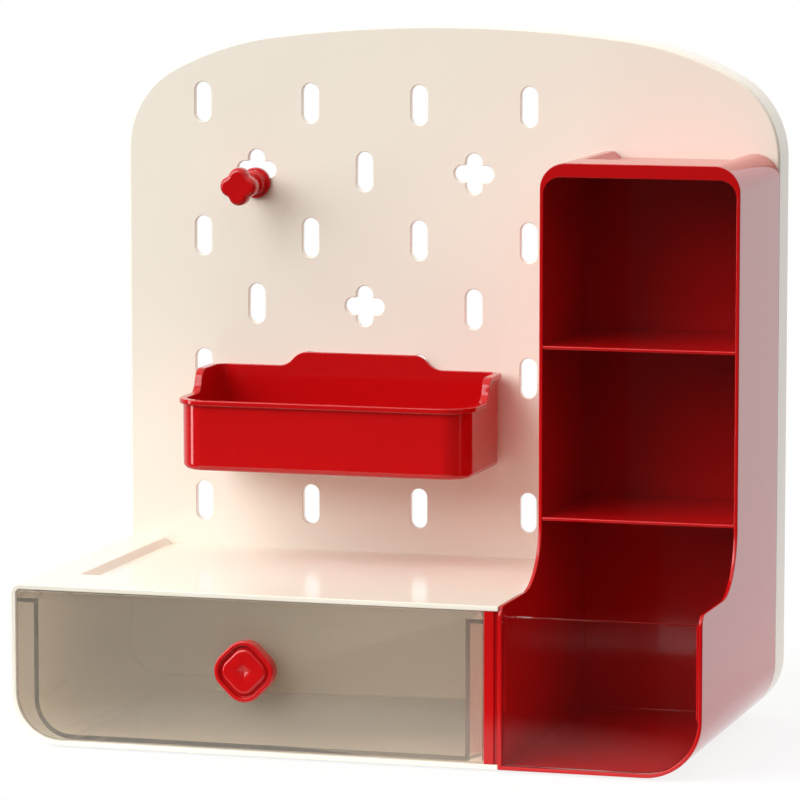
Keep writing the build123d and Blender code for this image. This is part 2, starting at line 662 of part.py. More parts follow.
nodes = {
    "pegboard_panel": pegboard_panel(),
    "drawer_housing": drawer_housing(),
    "drawer_rail": drawer_rail(),
    "tower_shell": tower_shell(),
    "upper_shelf": shelf_block(UPPER_SHELF, SLIDE_GAP),
    "lower_shelf": shelf_block(LOWER_SHELF, SLIDE_GAP),
    "front_pane": front_pane(),
    "housing_screws": rear_screws(housing_bosses),
    "tower_screws": rear_screws(tower_bosses),
    "housing_feet": foot_pads(housing_feet),
    "tower_feet": foot_pads(tower_feet),
    "drawer_front": drawer_front(),
    "drawer_tray": drawer_tray(),
    "drawer_knob": drawer_knob(),
    "knob_screw": knob_screw(),
    "basket": basket(),
    "peg_knob": peg_knob(),
    "peg_retainer": peg_retainer(),
}

# The origin goes to the middle of the footprint, on the desk.
reach_front = front - KNOB_REACH
to_origin = Pos(-width / 2, -(reach_front + RIM_DEPTH) / 2, 0)

os.makedirs("parts", exist_ok=True)
for name, shape in nodes.items():
    solids = shape if isinstance(shape, list) else [shape]
    export_step(Compound(children=[to_origin * solid for solid in solids]), f"parts/{name}.step")
    print(name, [round(value, 2) for value in (to_origin * Compound(solids)).bounding_box().size])
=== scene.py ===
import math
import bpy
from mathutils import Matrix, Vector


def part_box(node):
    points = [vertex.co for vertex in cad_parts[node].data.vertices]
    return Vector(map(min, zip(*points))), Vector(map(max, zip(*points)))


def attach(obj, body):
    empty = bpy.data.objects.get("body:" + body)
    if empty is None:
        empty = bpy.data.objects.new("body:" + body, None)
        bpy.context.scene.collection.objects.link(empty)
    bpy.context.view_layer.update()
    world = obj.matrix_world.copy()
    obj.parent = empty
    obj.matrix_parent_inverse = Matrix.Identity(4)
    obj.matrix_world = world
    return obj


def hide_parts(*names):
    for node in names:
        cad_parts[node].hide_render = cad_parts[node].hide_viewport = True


bl_info = {
    "name": "Desk organizer with pegboard and clear drawer",
    "version": (1, 0, 0),
    "blender": (4, 5, 0),
    "location": "3D View > Sidebar > Organizer",
    "description": "Builds an arched pegboard organizer with a clear drawer, a tower, a tray and a peg",
    "category": "Add Mesh",
}

import bmesh
import bpy
from mathutils import Vector

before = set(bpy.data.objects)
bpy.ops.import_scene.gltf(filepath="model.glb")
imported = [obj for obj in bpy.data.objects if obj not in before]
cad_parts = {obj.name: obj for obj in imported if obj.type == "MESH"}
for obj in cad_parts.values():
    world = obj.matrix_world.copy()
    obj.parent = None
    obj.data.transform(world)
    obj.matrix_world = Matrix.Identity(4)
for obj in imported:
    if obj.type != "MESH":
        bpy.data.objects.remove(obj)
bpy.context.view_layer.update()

# ---- places that the frame gives ----

MM = 0.001
BOARD_LOW, BOARD_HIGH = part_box("pegboard_panel")
HOUSING_LOW, HOUSING_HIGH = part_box("drawer_housing")
TOWER_LOW, TOWER_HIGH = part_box("tower_shell")
RAIL_LOW, RAIL_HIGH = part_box("drawer_rail")
DOOR_LOW, DOOR_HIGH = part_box("drawer_front")
TRAY_LOW, TRAY_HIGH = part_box("drawer_tray")
PANE_LOW, PANE_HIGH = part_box("front_pane")
BASKET_LOW, BASKET_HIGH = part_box("basket")
KNOB_LOW, KNOB_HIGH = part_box("drawer_knob")
PEG_LOW, PEG_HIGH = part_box("peg_knob")

BASE = BOARD_LOW.z              # underside of the shells
FACE = BOARD_LOW.y              # front face of the pegboard
FRONT = HOUSING_LOW.y           # front edges of the housing and the tower
SPLIT = TOWER_LOW.x             # where the housing ends and the tower starts
CHORD = 0.012 * MM              # how far a drawn arc may leave the true curve
REACH = 1.0 * MM                # how far a cut runs past a face
FIT = 0.2 * MM                  # gap between pieces that only touch
BACK_WALL = 2 * MM              # wall that closes the shells towards the board
POCKET_LEFT = 17 * MM           # housing's left side to its pocket
POCKET_FRONT = 30 * MM          # front edges to the housing's pocket
WAVE_HEIGHT = 0.02 * MM         # height of the waves and the grain in moulded faces
HOLE_ROWS, HOLE_COLUMNS = 7, 4  # odd rows hold one hole less
LOBED_HOLES = ((1, 0), (1, 2), (3, 1), (5, 0), (5, 2))
HOOK_HOLES = ((4, 1), (4, 2))

# A drawing plane is an across and an up direction, and the direction that a prism grows in.
FRONT_VIEW = (Vector((1, 0, 0)), Vector((0, 0, 1)), Vector((0, 1, 0)))
SIDE_VIEW = (Vector((0, 1, 0)), Vector((0, 0, 1)), Vector((1, 0, 0)))
PLAN_VIEW = (Vector((1, 0, 0)), Vector((0, 1, 0)), Vector((0, 0, 1)))


# ---- sizes and colours that a user may change ----

def length(name, description, millimetres):
    """A length that a user may change."""
    return bpy.props.FloatProperty(
        name=name, description=description,
        default=millimetres * MM, unit="LENGTH", precision=4)


def colour(name, description, tone):
    """A colour that a user may change."""
    return bpy.props.FloatVectorProperty(
        name=name, description=description,
        subtype="COLOR", size=3, min=0.0, max=1.0, default=tone)


def level(name, description, strength):
    """A lamp's or a surround's strength, which a user may change."""
    return bpy.props.FloatProperty(name=name, description=description, default=strength)


class BoardSizes(bpy.types.PropertyGroup):
    """Sizes of the arched pegboard and its holes."""

    wall: length("Wall", "Thickness of the board", 3.0)
    rim_wall: length("Rim wall", "Thickness of the edge that is turned back", 2.2)
    rim_edge: length("Rim edge", "Rounding of the board's front edge", 1.2)
    crown_radius: length("Crown radius", "Radius of the arch at its top", 557.0)
    crown_angle: bpy.props.FloatProperty(
        name="Crown angle", description="Degrees from the middle to where the crown ends",
        default=7.4)
    shoulder_angle: bpy.props.FloatProperty(
        name="Shoulder angle", description="Degrees from the middle to where the shoulder ends",
        default=28.5)
    corner_radius: length("Corner radius", "Radius between the shoulder and the upright side", 36.3)
    hole_pitch: length("Hole pitch", "Distance between holes in a row", 45.0)
    row_pitch: length("Row pitch", "Distance between rows of holes", 26.83)
    first_column: length("First column", "First hole to the board's left edge", 31.6)
    top_row: length("Top row", "Top row of holes to the crown", 31.55)
    slot_width: length("Slot width", "Width of an upright slot and of a lobe", 6.8)
    slot_length: length("Slot length", "Length of an upright slot", 15.9)
    lobe_offset: length("Lobe offset", "Lobe to the middle of a four-lobed hole", 4.75)


class ShellSizes(bpy.types.PropertyGroup):
    """Sizes of the drawer housing, the rail and the tower."""

    housing_wall: length("Housing wall", "Wall of the drawer housing", 1.9)
    tower_wall: length("Tower wall", "Side wall of the tower", 1.5)
    tower_top: length("Tower top", "Thickness of the tower's top", 5.4)
    foot_corner: length("Foot corner", "Large rounding along the housing's bottom left", 20.0)
    tower_foot: length("Tower foot", "Large rounding along the tower's bottom right", 22.0)
    top_edge: length("Top edge", "Rounding along the housing's top left side", 3.5)
    pocket_depth: length("Pocket depth", "Depth of the shallow pockets on top", 2.5)
    pocket_slope: length("Pocket slope", "How far the pockets' sides lean", 3.0)
    tower_depth: length("Tower depth", "Depth of the upper compartments", 72.2)
    hollow: length("Hollow", "Hollow curve from the low front up to the compartments", 24.0)
    nose: length("Nose", "Rounding at the front of the low sides", 4.0)
    soft_edge: length("Soft edge", "Small rounding of every moulded edge", 0.35)


class TraySizes(bpy.types.PropertyGroup):
    """Sizes of the clear drawer and the hanging tray."""

    clear_wall: length("Clear wall", "Wall of the clear drawer", 1.8)
    clear_corner: length("Clear corner", "Rounding along the drawer's bottom left", 15.0)
    left_gap: length("Left gap", "Drawer's left side to the edge of its front", 6.6)
    right_gap: length("Right gap", "Drawer's right side to the edge of its front", 5.2)
    basket_wall: length("Basket wall", "Wall of the hanging tray", 1.7)
    basket_front: length("Basket front", "Height of the hanging tray's front", 28.0)
    basket_back: length("Basket back", "Height of the hanging tray's back corners", 37.1)
    lip_width: length("Lip width", "How far the rim turns outwards", 1.5)
    lip_height: length("Lip height", "Height of the rim's outer edge", 2.0)


class Tones(bpy.types.PropertyGroup):
    """Colours of the materials, one for each slot."""

    cream: colour("Cream", "Cream plastic of the board and the housing", (0.93, 0.86, 0.745))
    red: colour("Red", "Deep red plastic", (0.53, 0.004, 0.005))
    smoke: colour("Smoke", "Tint of the drawer's clear plastic", (0.985, 0.89, 0.76))
    clear: colour("Clear", "Tint of the tower's clear pane", (0.95, 0.93, 0.92))
    steel: colour("Steel", "Plated steel of the screws", (0.62, 0.62, 0.60))
    pad: colour("Pad", "Soft pads under the shells", (0.55, 0.53, 0.50))


class StageSettings(bpy.types.PropertyGroup):
    """Floor, light and camera."""

    floor: colour("Floor", "Colour of the floor", (0.93, 0.93, 0.93))
    key_level: level("Key level", "Soft panel on the upper left; 1 is white in a mirror", 4.05)
    tall_level: level("Tall level", "Tall narrow panel on the far left", 7.0)
    back_level: level("Back level", "Wide soft panel behind, on the right", 2.2)
    surround_level: level(
        "Surround level", "Soft light straight above; it fades to the horizon", 1.0)
    lens: bpy.props.FloatProperty(
        name="Lens", description="Focal length of the camera",
        default=219.6, unit="CAMERA")


# ---- drawing and shaping ----

def only(piece):
    """Selects one piece alone and makes it the active one."""
    bpy.ops.object.select_all(action="DESELECT")
    piece.select_set(True)
    bpy.context.view_layer.objects.active = piece


def settle(piece, name):
    """Names a piece and moves its place into its mesh."""
    only(piece)
    bpy.ops.object.transform_apply(location=True, rotation=True, scale=True)
    piece.name = name
    piece.data.name = name
    return piece


def sizes_of(context):
    """The sizes of the board, of the shells and of the two trays."""
    scene = context.scene
    return scene.organizer_board, scene.organizer_shells, scene.organizer_trays


def middle_of(low, high):
    """Middle of a box, seen from the front."""
    return (low.x + high.x) / 2, (low.z + high.z) / 2


def close(value, place):
    return abs(value - place) < 0.01 * MM


def lies_at(part, place):
    """Whether all the points of a face or an edge lie at a place such as {"x": 0.1}."""
    points = [part] if isinstance(part, bmesh.types.BMVert) else part.verts
    return all(close(getattr(p.co, axis), value) for p in points for axis, value in place.items())


def pick(piece, kind, *places):
    """Opens a piece for shaping, with the points, edges or faces at these places selected."""
    only(piece)
    bpy.ops.object.mode_set(mode="EDIT")
    bpy.ops.mesh.select_mode(type=kind)
    bpy.ops.mesh.select_all(action="DESELECT")
    shape = bmesh.from_edit_mesh(piece.data)
    parts = {"VERT": shape.verts, "EDGE": shape.edges, "FACE": shape.faces}[kind]
    for part in parts:
        part.select = any(lies_at(part, place) for place in places)
    shape.select_flush_mode()
    bmesh.update_edit_mesh(piece.data)


def done():
    bpy.ops.object.mode_set(mode="OBJECT")


def block(name, low, high):
    """A plain block between two corners, ready for shaping."""
    bpy.ops.object.select_all(action="DESELECT")
    middle = [(a + b) / 2 for a, b in zip(low, high)]
    size = [b - a for a, b in zip(low, high)]
    bpy.ops.mesh.primitive_cube_add(size=1, location=middle, scale=size)
    return settle(bpy.context.object, name)


def rod(name, x, z, radius, y_front, y_back, sides=48):
    """A round bar from front to back."""
    bpy.ops.object.select_all(action="DESELECT")
    bpy.ops.mesh.primitive_cylinder_add(
        vertices=sides, radius=radius, depth=y_back - y_front,
        location=(x, (y_front + y_back) / 2, z), rotation=(math.pi / 2, 0, 0))
    return settle(bpy.context.object, name)


def round_edges(piece, radius, *places, segments=8):
    pick(piece, "EDGE", *places)
    bpy.ops.mesh.bevel(offset=radius, segments=segments, affect="EDGES")
    done()


def extrude(move):
    """Extrudes what is selected and moves it on."""
    bpy.ops.mesh.extrude_region_move(TRANSFORM_OT_translate={"value": move})


def trace(name, view, depth, start, heading, steps):
    """Draws a closed outline with one point that walks.

    A step is ("go", length), ("turn", degrees) or ("arc", radius, degrees); left is positive.
    """
    across, up, through = view
    axis = across.cross(up)
    place = across * start[0] + up * start[1] + through * depth
    bpy.ops.object.select_all(action="DESELECT")
    bpy.ops.mesh.primitive_plane_add(size=MM, location=place)
    bpy.ops.object.mode_set(mode="EDIT")
    bpy.ops.mesh.select_mode(type="VERT")
    bpy.ops.mesh.select_all(action="SELECT")
    bpy.ops.mesh.merge(type="CENTER")
    for step in steps:
        ahead = across * math.cos(heading) + up * math.sin(heading)
        if step[0] == "go":
            place = place + ahead * step[1]
            bpy.ops.mesh.extrude_vertices_move(TRANSFORM_OT_translate={"value": ahead * step[1]})
        elif step[0] == "turn":
            heading += math.radians(step[1])
        else:
            radius, turn = step[1], math.radians(step[2])
            side = math.copysign(1, turn)
            middle = place + axis.cross(ahead) * radius * side
            parts = max(2, math.ceil(abs(turn) / (2 * math.acos(1 - CHORD / radius))))
            bpy.ops.mesh.spin(steps=parts, angle=-turn, center=middle, axis=axis)
            heading += turn
            after = across * math.cos(heading) + up * math.sin(heading)
            place = middle - axis.cross(after) * radius * side
    bpy.ops.mesh.select_all(action="SELECT")
    bpy.ops.mesh.remove_doubles(threshold=0.002 * MM)
    bpy.ops.mesh.edge_face_add()
    done()
    return settle(bpy.context.object, name)


def prism(name, view, depth, length, start, heading, steps):
    """An outline that is drawn and then extruded."""
    piece = trace(name, view, depth, start, heading, steps)
    pick(piece, "FACE", {})
    extrude(view[2] * length)
    bpy.ops.mesh.select_all(action="SELECT")
    bpy.ops.mesh.normals_make_consistent(inside=False)
    done()
    return piece


def rounded(low, high, corners):
    """Outline of a box with its own radius at bottom left, bottom right, top right, top left."""
    (x0, z0), (x1, z1) = low, high
    a, b, c, d = corners
    steps = []
    for run, radius in ((x1 - x0 - a - b, b), (z1 - z0 - b - c, c),
                        (x1 - x0 - c - d, d), (z1 - z0 - d - a, a)):
        steps.append(("go", run))
        steps.append(("arc", radius, 90) if radius > 0 else ("turn", 90))
    return (x0 + a, z0), 0.0, steps


def combine(piece, other, operation="UNION"):
    """Welds another piece to this one, or crosses the two (INTERSECT)."""
    only(piece)
    tool = piece.modifiers.new("combine", "BOOLEAN")
    tool.operation = operation
    tool.solver = "EXACT"
    tool.object = other
    bpy.ops.object.modifier_apply(modifier=tool.name)
    bpy.data.objects.remove(other)


def cut(piece, other):
    """Cuts the other piece out of this one."""
    combine(piece, other, "DIFFERENCE")


def copy_of(piece, name, offset):
    """A copy with its own mesh, moved by an offset."""
    only(piece)
    bpy.ops.object.duplicate(linked=False)
    bpy.ops.transform.translate(value=offset)
    return settle(bpy.context.object, name)


def joined(pieces, name):
    """Several pieces as one mesh."""
    bpy.ops.object.select_all(action="DESELECT")
    for piece in pieces:
        piece.select_set(True)
    bpy.context.view_layer.objects.active = pieces[0]
    bpy.ops.object.join()
    return settle(bpy.context.object, name)


def pocket_cut(name, low, high, slope):
    """The cut of a shallow pocket whose sides lean outwards towards its mouth."""
    room = block(name, low, high)
    middle = [(a + b) / 2 for a, b in zip(low, high)]
    width, depth = high[0] - low[0], high[1] - low[1]
    pick(room, "FACE", {"z": low[2]})
    bpy.ops.transform.resize(
        value=((width - 2 * slope) / width, (depth - 2 * slope) / depth, 1),
        center_override=(middle[0], middle[1], low[2]))
    done()
    return room


def finish_piece(piece, body, nodes, slot, edge, angle=32, flat=False):
    """Rounds a piece's edges a little, evens its shading and sets it on its body."""
    only(piece)
    bpy.ops.object.mode_set(mode="EDIT")
    bpy.ops.mesh.select_mode(type="VERT")
    bpy.ops.mesh.select_all(action="SELECT")
    bpy.ops.mesh.remove_doubles(threshold=0.002 * MM)
    bpy.ops.mesh.dissolve_limited(angle_limit=math.radians(0.05))
    bpy.ops.mesh.select_all(action="SELECT")
    bpy.ops.mesh.normals_make_consistent(inside=False)
    done()
    if edge > 0:
        soft = piece.modifiers.new("soft edges", "BEVEL")
        soft.width = edge
        soft.segments = 2
        soft.limit_method = "ANGLE"
        soft.angle_limit = math.radians(angle)
        soft.use_clamp_overlap = False
        soft.miter_outer = "MITER_ARC"
        bpy.ops.object.modifier_apply(modifier=soft.name)
    if flat:
        bpy.ops.object.shade_smooth_by_angle(angle=math.radians(20))
    else:
        bpy.ops.object.shade_smooth()
        even = piece.modifiers.new("even shading", "WEIGHTED_NORMAL")
        even.weight = 80
        bpy.ops.object.modifier_apply(modifier=even.name)
    piece.data.materials.clear()
    piece.data.materials.append(material_of(slot))
    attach(piece, body)
    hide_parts(*nodes)


# ---- finishes ----

def fill(tree, node, values):
    """Feeds a node's inputs, each by its name or number, with a socket or a plain value."""
    for name, given in values.items():
        if isinstance(given, bpy.types.NodeSocket):
            tree.links.new(given, node.inputs[name])
        else:
            node.inputs[name].default_value = given
    return node


def maths(tree, operation, *given):
    """A Math node, fed with sockets and plain numbers."""
    node = tree.nodes.new("ShaderNodeMath")
    node.operation = operation
    return fill(tree, node, dict(enumerate(given))).outputs[0]


def noise(tree, place, scale, detail, roughness=0.5):
    """Slow or fine noise over a place."""
    node = tree.nodes.new("ShaderNodeTexNoise")
    fill(tree, node, {"Vector": place, "Scale": scale, "Detail": detail, "Roughness": roughness})
    return node.outputs["Fac"]


def ramp(tree, value, start, end, first, last):
    """A smooth step from one value to another."""
    step = tree.nodes.new("ShaderNodeMapRange")
    step.interpolation_type = "SMOOTHSTEP"
    fill(tree, step, {"Value": value, "From Min": start, "From Max": end,
                      "To Min": first, "To Max": last})
    return step.outputs[0]


def mixed(tree, share, first, second):
    """A share of the second shader over the first."""
    node = tree.nodes.new("ShaderNodeMixShader")
    return fill(tree, node, {0: share, 1: first, 2: second}).outputs[0]


def moulded_surface():
    """Faint mottling, slow waves and fine scratches of moulded plastic."""
    group = bpy.data.node_groups.get("moulded surface")
    if group:
        return group
    group = bpy.data.node_groups.new("moulded surface", "ShaderNodeTree")
    face = group.interface
    face.new_socket("Place", in_out="INPUT", socket_type="NodeSocketVector")
    for name, value in (("Mottling", 0.03), ("Roughness", 0.12), ("Roughness spread", 0.05),
                        ("Wave size", 40.0), ("Grain size", 900.0), ("Grain share", 0.05)):
        socket = face.new_socket(name, in_out="INPUT", socket_type="NodeSocketFloat")
        socket.default_value = value
    tone = face.new_socket("Tone", in_out="INPUT", socket_type="NodeSocketColor")
    tone.default_value = (0.8, 0.8, 0.8, 1.0)
    face.new_socket("Colour", in_out="OUTPUT", socket_type="NodeSocketColor")
    face.new_socket("Roughness", in_out="OUTPUT", socket_type="NodeSocketFloat")
    face.new_socket("Height", in_out="OUTPUT", socket_type="NodeSocketFloat")
    given = group.nodes.new("NodeGroupInput").outputs
    place = given["Place"]
    # Colour: the tone, a few hundredths lighter and darker in slow patches.
    patches = maths(group, "SUBTRACT", noise(group, place, 14.0, 4.0), 0.5)
    swing = maths(group, "MULTIPLY_ADD", patches, given["Mottling"], 1.0)
    tinted = group.nodes.new("ShaderNodeVectorMath")
    tinted.operation = "SCALE"
    fill(group, tinted, {0: given["Tone"], "Scale": swing})
    # Roughness: fine scratches and handling marks over the gloss.
    marks = maths(group, "SUBTRACT", noise(group, place, 120.0, 8.0, 0.7), 0.5)
    rough = maths(group, "MULTIPLY_ADD", marks, given["Roughness spread"], given["Roughness"])
    # Height: slow waves from cooling and a fine grain.
    waves = noise(group, place, given["Wave size"], 1.0)
    grain = noise(group, place, given["Grain size"], 2.0)
    height = maths(group, "MULTIPLY_ADD", grain, given["Grain share"], waves)
    fill(group, group.nodes.new("NodeGroupOutput"),
         {"Colour": tinted.outputs[0], "Roughness": rough, "Height": height})
    return group


# Each slot's material name, its roughness and how far that wanders, its mottling, its relief,
# the grain's share of the relief, and the shader's inputs that set it apart.
FINISHES = {
    "cream": ("cream plastic", 0.14, 0.05, 0.03, 0.5, 0.05, {}),
    "red": ("red plastic", 0.09, 0.05, 0.08, 0.5, 0.05,
            {"Specular IOR Level": 0.46, "Coat Weight": 0.05, "Coat Roughness": 0.04}),
    "smoke": ("smoky clear plastic", 0.012, 0.02, 0.02, 0.03, 0.05,
              {"Transmission Weight": 0.89, "IOR": 1.49}),
    "clear": ("clear plastic", 0.012, 0.02, 0.02, 0.03, 0.05,
              {"Transmission Weight": 1.0, "IOR": 1.25}),
    "steel": ("zinc steel", 0.32, 0.2, 0.15, 0.8, 0.3, {"Metallic": 1.0}),
    "pad": ("soft pad", 0.75, 0.15, 0.12, 1.0, 0.6, {}),
}


def material_of(slot):
    """The material of a slot: the shared surface feeds one shader."""
    name, rough, spread, mottling, relief, grain, extra = FINISHES[slot]
    material = bpy.data.materials.get(name)
    if material:
        return material
    material = bpy.data.materials.new(name)
    material.use_nodes = True
    tree = material.node_tree
    tone = getattr(bpy.context.scene.organizer_tones, slot)
    surface = tree.nodes.new("ShaderNodeGroup")
    surface.node_tree = moulded_surface()
    fill(tree, surface, {"Place": tree.nodes.new("ShaderNodeTexCoord").outputs["Object"],
                         "Tone": (*tone, 1.0), "Mottling": mottling, "Roughness": rough,
                         "Roughness spread": spread, "Grain share": grain})
    bump = fill(tree, tree.nodes.new("ShaderNodeBump"),
                {"Strength": relief, "Distance": WAVE_HEIGHT,
                 "Height": surface.outputs["Height"]})
    shader = fill(tree, tree.nodes["Principled BSDF"],
                  {"Base Color": surface.outputs["Colour"],
                   "Roughness": surface.outputs["Roughness"],
                   "Normal": bump.outputs["Normal"], **extra})
    if "Transmission Weight" in extra:
        # The lamps' light passes straight through a clear plastic.
        passing = tree.nodes.new("ShaderNodeBsdfTransparent")
        path = tree.nodes.new("ShaderNodeLightPath").outputs
        unseen = maths(tree, "MAXIMUM", path["Is Shadow Ray"], path["Is Diffuse Ray"])
        fill(tree, tree.nodes["Material Output"],
             {"Surface": mixed(tree, unseen, shader.outputs[0], passing.outputs[0])})
    return material


# ---- pieces ----

def hole_middle(board, row, column):
    """Middle of a hole; odd rows sit half a pitch to the right."""
    x = BOARD_LOW.x + board.first_column + board.hole_pitch * (column + 0.5 * (row % 2))
    return x, BOARD_HIGH.z - board.top_row - board.row_pitch * row


def slot_cut(board, depth, length):
    """An upright slot about the place (0, 0)."""
    radius = board.slot_width / 2
    straight = board.slot_length - board.slot_width
    steps = [("go", straight), ("arc", radius, 180)] * 2
    return prism("slot cut", FRONT_VIEW, depth, length, (radius, -straight / 2), math.pi / 2, steps)


def crossed_steps(radius, offset):
    """Where the outline of two crossed slots starts, its heading and its steps."""
    run = offset - radius
    steps = [("go", run), ("arc", radius, 180), ("go", run), ("turn", -90)] * 4
    return (radius, -radius), 0.0, steps


class ORGANIZER_OT_pegboard(bpy.types.Operator):
    """Add the arched pegboard with its slots and four-lobed holes."""

    bl_idname = "organizer.pegboard"
    bl_label = "Pegboard"

    def execute(self, context):
        board, shells, _ = sizes_of(context)
        corner, foot, far_foot = board.corner_radius, shells.foot_corner, shells.tower_foot
        crown, end = math.radians(board.crown_angle), math.radians(board.shoulder_angle)
        half = (BOARD_HIGH.x - BOARD_LOW.x) / 2
        run = half - board.crown_radius * math.sin(crown) - corner * (1 - math.sin(end))
        shoulder = run / (math.sin(end) - math.sin(crown))
        drop = (board.crown_radius * (1 - math.cos(crown))
                + shoulder * (math.cos(crown) - math.cos(end)) + corner * math.cos(end))
        side = BOARD_HIGH.z - drop - BASE - foot
        arc = board.shoulder_angle - board.crown_angle
        steps = [("go", side), ("arc", corner, board.shoulder_angle - 90), ("arc", shoulder, -arc),
                 ("arc", board.crown_radius, -2 * board.crown_angle),
                 ("arc", shoulder, -arc), ("arc", corner, board.shoulder_angle - 90),
                 ("go", side + foot - far_foot), ("arc", far_foot, -90),
                 ("go", 2 * half - foot - far_foot), ("arc", foot, -90)]
        depth = BOARD_HIGH.y - FACE
        piece = prism("pegboard", FRONT_VIEW, FACE, depth,
                      (BOARD_LOW.x, BASE + foot), math.pi / 2, steps)
        # The back is hollowed, which leaves the board and its turned-back edge.
        pick(piece, "FACE", {"y": BOARD_HIGH.y})
        bpy.ops.mesh.inset(thickness=board.rim_wall, depth=0, use_even_offset=True)
        extrude((0, board.wall - depth, 0))
        done()
        round_edges(piece, board.rim_edge, {"y": FACE}, segments=4)
        slot = slot_cut(board, FACE - REACH, board.wall + 2 * REACH)
        lobed = prism("lobed cut", FRONT_VIEW, FACE - REACH, board.wall + 2 * REACH,
                      *crossed_steps(board.slot_width / 2, board.lobe_offset))
        cuts = []
        for row in range(HOLE_ROWS):
            for column in range(HOLE_COLUMNS - row % 2):
                model = lobed if (row, column) in LOBED_HOLES else slot
                x, z = hole_middle(board, row, column)
                cuts.append(copy_of(model, "cut", (x, 0, z)))
        bpy.data.objects.remove(slot)
        bpy.data.objects.remove(lobed)
        cut(piece, joined(cuts, "cuts"))
        finish_piece(piece, "organizer", ["pegboard_panel"], "cream", shells.soft_edge)
        return {"FINISHED"}


class ORGANIZER_OT_housing(bpy.types.Operator):
    """Add the low housing that the drawer slides into."""

    bl_idname = "organizer.housing"
    bl_label = "Drawer housing"

    def execute(self, context):
        _, shells, trays = sizes_of(context)
        wall, foot, edge = shells.housing_wall, shells.foot_corner, shells.top_edge
        left, top = HOUSING_LOW.x, HOUSING_HIGH.z
        piece = prism("housing_shell", FRONT_VIEW, FRONT, FACE - FRONT,
                      *rounded((left, BASE), (SPLIT, top), (foot, 0, 0, edge)))
        inside = prism("inside", FRONT_VIEW, FRONT - REACH, FACE - BACK_WALL - FRONT + REACH,
                       *rounded((left + wall, BASE + wall), (SPLIT + REACH, top - wall),
                                (foot - wall, 0, 0, edge - wall)))
        cut(piece, inside)
        # The top drops to a shallow pocket, whose floor keeps the wall's thickness.
        pocket_left, pocket_front = left + POCKET_LEFT, FRONT + POCKET_FRONT
        floor = top - shells.pocket_depth
        under = block("pocket floor", (pocket_left - wall, pocket_front - wall, floor - wall),
                      (SPLIT, FACE - BACK_WALL / 2, top - wall / 2))
        combine(piece, under)
        past = shells.pocket_slope + REACH
        pocket = pocket_cut("pocket", (pocket_left, pocket_front, floor),
                            (SPLIT + past, FACE + past, top), shells.pocket_slope)
        cut(piece, pocket)
        # Two runners on the floor carry the drawer.
        middle = (DOOR_LOW.x + trays.left_gap + DOOR_HIGH.x - trays.right_gap) / 2
        aside, half, height, setback = 47.75 * MM, 1.2 * MM, 0.6 * MM, 3 * MM
        for x in (middle - aside, middle + aside):
            rib = block("runner", (x - half, FRONT + setback, BASE + wall - REACH),
                        (x + half, FACE - BACK_WALL / 2, BASE + wall + height))
            combine(piece, rib)
        finish_piece(piece, "organizer", ["drawer_housing"], "cream", shells.soft_edge)
        return {"FINISHED"}


class ORGANIZER_OT_rail(bpy.types.Operator):
    """Add the upright rail between the drawer and the tower."""

    bl_idname = "organizer.rail"
    bl_label = "Drawer rail"

    def execute(self, context):
        shells = context.scene.organizer_shells
        low, high = RAIL_LOW, RAIL_HIGH
        notch = high.z - shells.pocket_depth
        back = FRONT + POCKET_FRONT - shells.housing_wall
        step_width, step_depth = 1.6 * MM, 1 * MM
        steps = [("go", high.y - low.y), ("turn", 90), ("go", notch - low.z), ("turn", 90),
                 ("go", high.y - back), ("turn", -90), ("go", high.z - notch), ("turn", 90),
                 ("go", back - low.y), ("turn", 90), ("go", high.z - low.z)]
        piece = prism("drawer_guide_rail", SIDE_VIEW, low.x, high.x - low.x,
                      (low.y, low.z), 0.0, steps)
        step = block("step", (high.x - step_width, low.y - REACH, low.z - REACH),
                     (high.x + REACH, low.y + step_depth, high.z + REACH))
        cut(piece, step)
        finish_piece(piece, "organizer", ["drawer_rail"], "red", 0.25 * MM)
        return {"FINISHED"}


